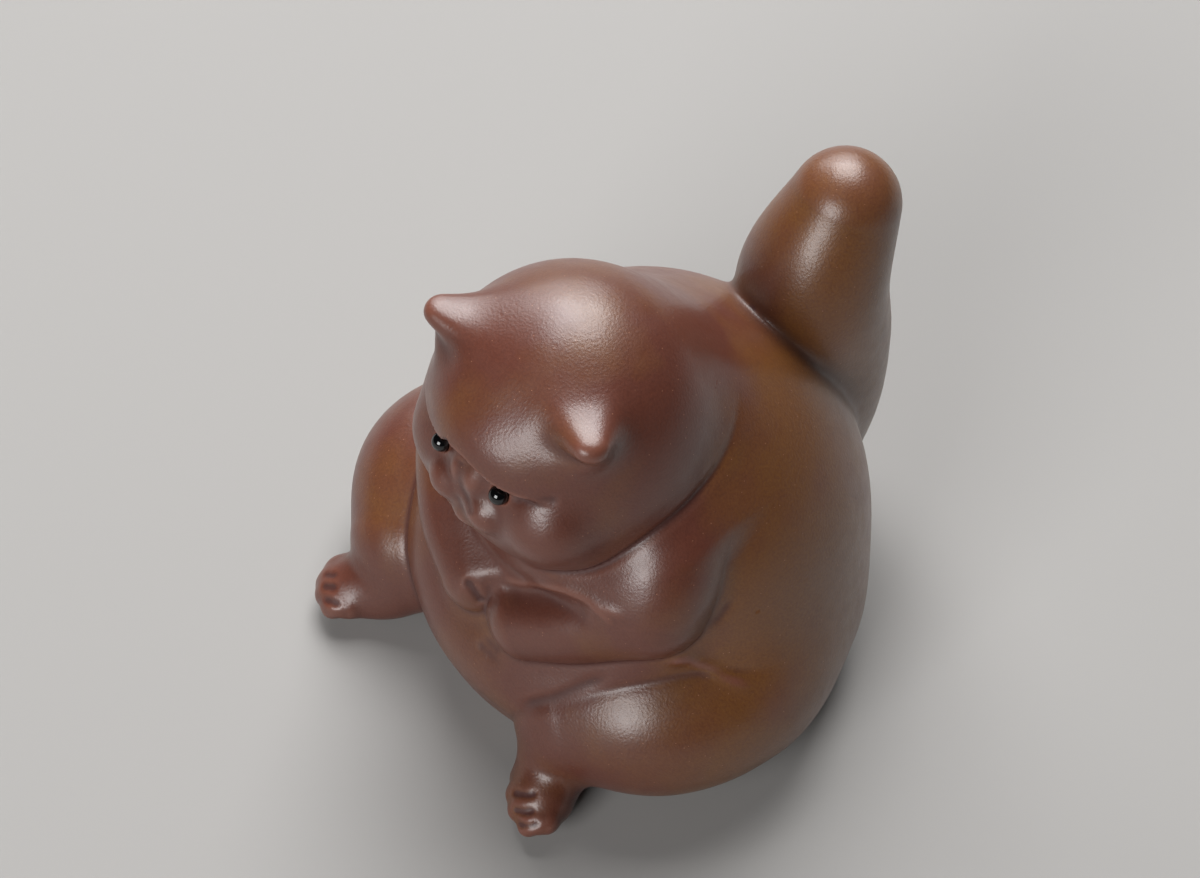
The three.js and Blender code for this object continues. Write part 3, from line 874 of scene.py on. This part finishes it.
# Painted shade: the hollows are drawn darker, and they are also made rougher.
hollow = add(
    tree, "ShaderNodeMapRange", Value=height, From_Min=HOLLOW_FROM, From_Max=HOLLOW_TO
).outputs["Result"]
# Painted warm light: the side away from the window is drawn warmer, on top of the clay's random warm mottle.
toward_warm_light = add(
    tree, "ShaderNodeVectorMath", {"operation": "DOT_PRODUCT"}, i0=place, i1=WARM_LIGHT_SIDE
).outputs["Value"]
painted_warm_light = add(
    tree, "ShaderNodeMapRange", Value=toward_warm_light, From_Min=WARM_LIGHT_FROM, From_Max=WARM_LIGHT_TO, To_Max=WARM_LIGHT_STRENGTH
).outputs["Result"]
mottle_and_warm_light = add(tree, "ShaderNodeMath", {"operation": "ADD"}, i0=mottle, i1=painted_warm_light).outputs[0]
warm_tone_and_light = add(
    tree, "ShaderNodeMapRange", Value=mottle_and_warm_light, From_Min=WARM_FROM, From_Max=WARM_TO
).outputs["Result"]
grain_tone = add(
    tree, "ShaderNodeMapRange", Value=grain, From_Min=0.35, From_Max=0.7, To_Max=GRAIN_STRENGTH
).outputs["Result"]
sand_grain = add(
    tree, "ShaderNodeMapRange", Value=sand.outputs["Distance"], From_Min=SAND_REACH, From_Max=SAND_CORE
).outputs["Result"]
chance = add(tree, "ShaderNodeSeparateColor", Color=sand.outputs["Color"]).outputs["Red"]
there = add(tree, "ShaderNodeMath", {"operation": "GREATER_THAN"}, i0=chance, i1=BARE_SHARE).outputs[0]
grit = add(tree, "ShaderNodeMath", {"operation": "MULTIPLY"}, i0=sand_grain, i1=there).outputs[0]
grit = add(tree, "ShaderNodeMath", {"operation": "MULTIPLY"}, i0=grit, i1=SAND_STRENGTH).outputs[0]
tone = linear(CLAY)
# In turn over the clay: warm tone with painted warm light, dark grain, painted highlight on raised places,
# painted shade in hollows, and pale sand.
for share, colour in (
    (warm_tone_and_light, WARM_TONE_AND_LIGHT), (grain_tone, GRAIN_AND_SHADE_DARK), (painted_ridge_highlight, RIDGE_HIGHLIGHT), (hollow, GRAIN_AND_SHADE_DARK), (grit, SAND),
):
    tone = add(tree, "ShaderNodeMix", {"data_type": "RGBA"}, i0=share, i6=tone, i7=linear(colour)).outputs[2]
rough = add(
    tree, "ShaderNodeMapRange", Value=smear, From_Min=0.3, From_Max=0.7, To_Min=SMOOTHEST, To_Max=ROUGHEST
).outputs["Result"]
rough = add(
    tree, "ShaderNodeMath", {"operation": "MULTIPLY_ADD"}, i0=hollow, i1=HOLLOW_ROUGHER, i2=rough
).outputs[0]
bumps = add(tree, "ShaderNodeMath", {"operation": "MULTIPLY_ADD"}, i0=smear, i1=0.6, i2=grain).outputs[0]
skin_bump = add(tree, "ShaderNodeBump", Strength=0.5, Distance=BUMP_DEPTH, Height=bumps).outputs["Normal"]
shader = add(
    tree, "ShaderNodeBsdfPrincipled", Base_Color=tone, Roughness=rough, Normal=skin_bump, IOR=STONEWARE_IOR,
    Coat_Weight=FILM_WEIGHT, Coat_Roughness=FILM_ROUGHNESS, Coat_IOR=1.5, Coat_Normal=skin_bump,
)
add(tree, "ShaderNodeOutputMaterial", Surface=shader.outputs[0])

NODES = {
    "head_skin": "head_shell",
    "left_ear_skin": "left_ear",
    "right_ear_skin": "right_ear",
    "left_arm_skin": "left_arm",
    "right_arm_skin": "right_arm",
    "left_thigh_skin": "left_thigh",
    "right_thigh_skin": "right_thigh",
    "left_foot_skin": "left_foot",
    "right_foot_skin": "right_foot",
    "tail_skin": "tail",
}
names = list(PIECES)
for name, node_name in NODES.items():
    piece_of(name, nearest == names.index(name), burnished_clay, node_name)
on_torso = nearest == names.index("torso_skin")
in_slab = centres[:, 2] < SLAB_THICKNESS
piece_of("torso_skin", on_torso & ~in_slab, burnished_clay, "body_shell")
piece_of("base_skin", on_torso & in_slab, burnished_clay, "base_slab")

# Eyes: two round beads of black glazed clay, pressed into their sockets under the brow before firing. The
# glaze is glass: the eye sees deep black with small sharp lights in it.
BEAD_BLACK = "#060607"
GLAZE_ROUGHNESS = 0.04
GLAZE_IOR = 1.6
bead_glaze, tree = new_material("black_bead_glaze")
shader = add(
    tree, "ShaderNodeBsdfPrincipled", Base_Color=linear(BEAD_BLACK), Roughness=GLAZE_ROUGHNESS, IOR=GLAZE_IOR
)
add(tree, "ShaderNodeOutputMaterial", Surface=shader.outputs[0])

bead_tree = bpy.data.node_groups.new("bead_eye", "GeometryNodeTree")
bead_tree.interface.new_socket("Geometry", in_out="INPUT", socket_type="NodeSocketGeometry")
bead_tree.interface.new_socket("Radius", in_out="INPUT", socket_type="NodeSocketFloat")
bead_tree.interface.new_socket("Centre", in_out="INPUT", socket_type="NodeSocketVector")
bead_tree.interface.new_socket("Geometry", in_out="OUTPUT", socket_type="NodeSocketGeometry")
given = add(bead_tree, "NodeGroupInput")
bead = add(bead_tree, "GeometryNodeMeshIcoSphere", Radius=given.outputs["Radius"], Subdivisions=5)
placed = add(
    bead_tree, "GeometryNodeTransform", Geometry=bead.outputs["Mesh"], Translation=given.outputs["Centre"]
)
smoothed = add(bead_tree, "GeometryNodeSetShadeSmooth", Geometry=placed.outputs[0])
real = add(bead_tree, "GeometryNodeRealizeInstances", Geometry=smoothed.outputs[0])
glazed = add(bead_tree, "GeometryNodeSetMaterial", Geometry=real.outputs[0], Material=bead_glaze)
add(bead_tree, "NodeGroupOutput", Geometry=glazed.outputs[0])
for name, node_name, centre in zip(("left_bead", "right_bead"), ("left_eye", "right_eye"), eye_centres):
    maker = bpy.data.objects.new(name, bpy.data.meshes.new(name))
    bpy.context.scene.collection.objects.link(maker)
    modifier = maker.modifiers.new("bead", "NODES")
    modifier.node_group = bead_tree
    inputs = [item for item in bead_tree.interface.items_tree if item.in_out == "INPUT"]
    sockets = {item.name: item.identifier for item in inputs}
    modifier[sockets["Radius"]] = EYE_RADIUS / 1000
    modifier[sockets["Centre"]] = [float(c) / 1000 for c in centre]
    made = bpy.data.meshes.new_from_object(maker.evaluated_get(bpy.context.evaluated_depsgraph_get()))
    maker.modifiers.clear()
    maker.data = made
    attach(maker, "root")
    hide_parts(node_name)

# Floor: a plain pale matt sweep that holds the object's shadow.
FLOOR_PALE = "#999795"
FLOOR_REACH = 3.0
corners = [(x * FLOOR_REACH, y * FLOOR_REACH, 0.0) for x, y in ((-1, -1), (1, -1), (1, 1), (-1, 1))]
floor_mesh = bpy.data.meshes.new("floor")
floor_mesh.from_pydata(corners, [], [(0, 1, 2, 3)])
floor = bpy.data.objects.new("floor", floor_mesh)
bpy.context.scene.collection.objects.link(floor)
floor_paint, tree = new_material("matt_floor_paint")
shader = add(tree, "ShaderNodeBsdfPrincipled", Base_Color=linear(FLOOR_PALE), Roughness=0.9)
add(tree, "ShaderNodeOutputMaterial", Surface=shader.outputs[0])
floor_mesh.materials.append(floor_paint)

# Light: a broad window behind the cat's right shoulder, a skylight above it, a soft one in front, and a dim
# pale room. Each has its direction from the cat, its distance and size in metres, and its power in watts.
LIT_HEIGHT = 0.04
ROOM_PALE = "#dfe2e6"
ROOM_STRENGTH = 0.04
LIGHTS = (
    ("window", (-0.70, 0.40, 0.50), 1.0, (0.9, 0.6), 6.0),
    ("skylight", (-0.37, 0.36, 0.86), 1.0, (0.7, 0.7), 14.0),
    ("front", (0.265, -0.864, 0.47), 1.0, (0.5, 0.5), 7.5),
)
for name, direction, distance, size, power in LIGHTS:
    lamp = bpy.data.lights.new(name, "AREA")
    lamp.shape = "RECTANGLE"
    lamp.size, lamp.size_y = size
    lamp.energy = power
    holder = bpy.data.objects.new(name, lamp)
    toward = Vector(direction).normalized()
    holder.location = toward * distance + Vector((0, 0, LIT_HEIGHT))
    holder.rotation_euler = toward.to_track_quat("Z", "Y").to_euler()
    bpy.context.scene.collection.objects.link(holder)

world = bpy.data.worlds.new("pale_room")
bpy.context.scene.world = world
world.use_nodes = True
world.node_tree.nodes.clear()
tree = world.node_tree
air = add(tree, "ShaderNodeBackground", Color=linear(ROOM_PALE), Strength=ROOM_STRENGTH)
add(tree, "ShaderNodeOutputWorld", Surface=air.outputs[0])
bpy.context.scene.view_settings.view_transform = "Standard"

# Camera: a long lens well above the cat's left shoulder, at the photograph's angle. Its place, turn and lens
# stand with the skin, whose creases it aims.
camera_data = bpy.data.cameras.new("camera")
camera_data.lens = LENS
camera_data.sensor_width = SENSOR_WIDTH
camera_data.clip_start = 0.01
camera = bpy.data.objects.new("camera", camera_data)
turn = Matrix((CAMERA_RIGHT, CAMERA_UP, CAMERA_BACK)).transposed().to_4x4()
camera.matrix_world = Matrix.Translation(CAMERA_PLACE / 1000) @ turn
bpy.context.scene.collection.objects.link(camera)
bpy.context.scene.camera = camera
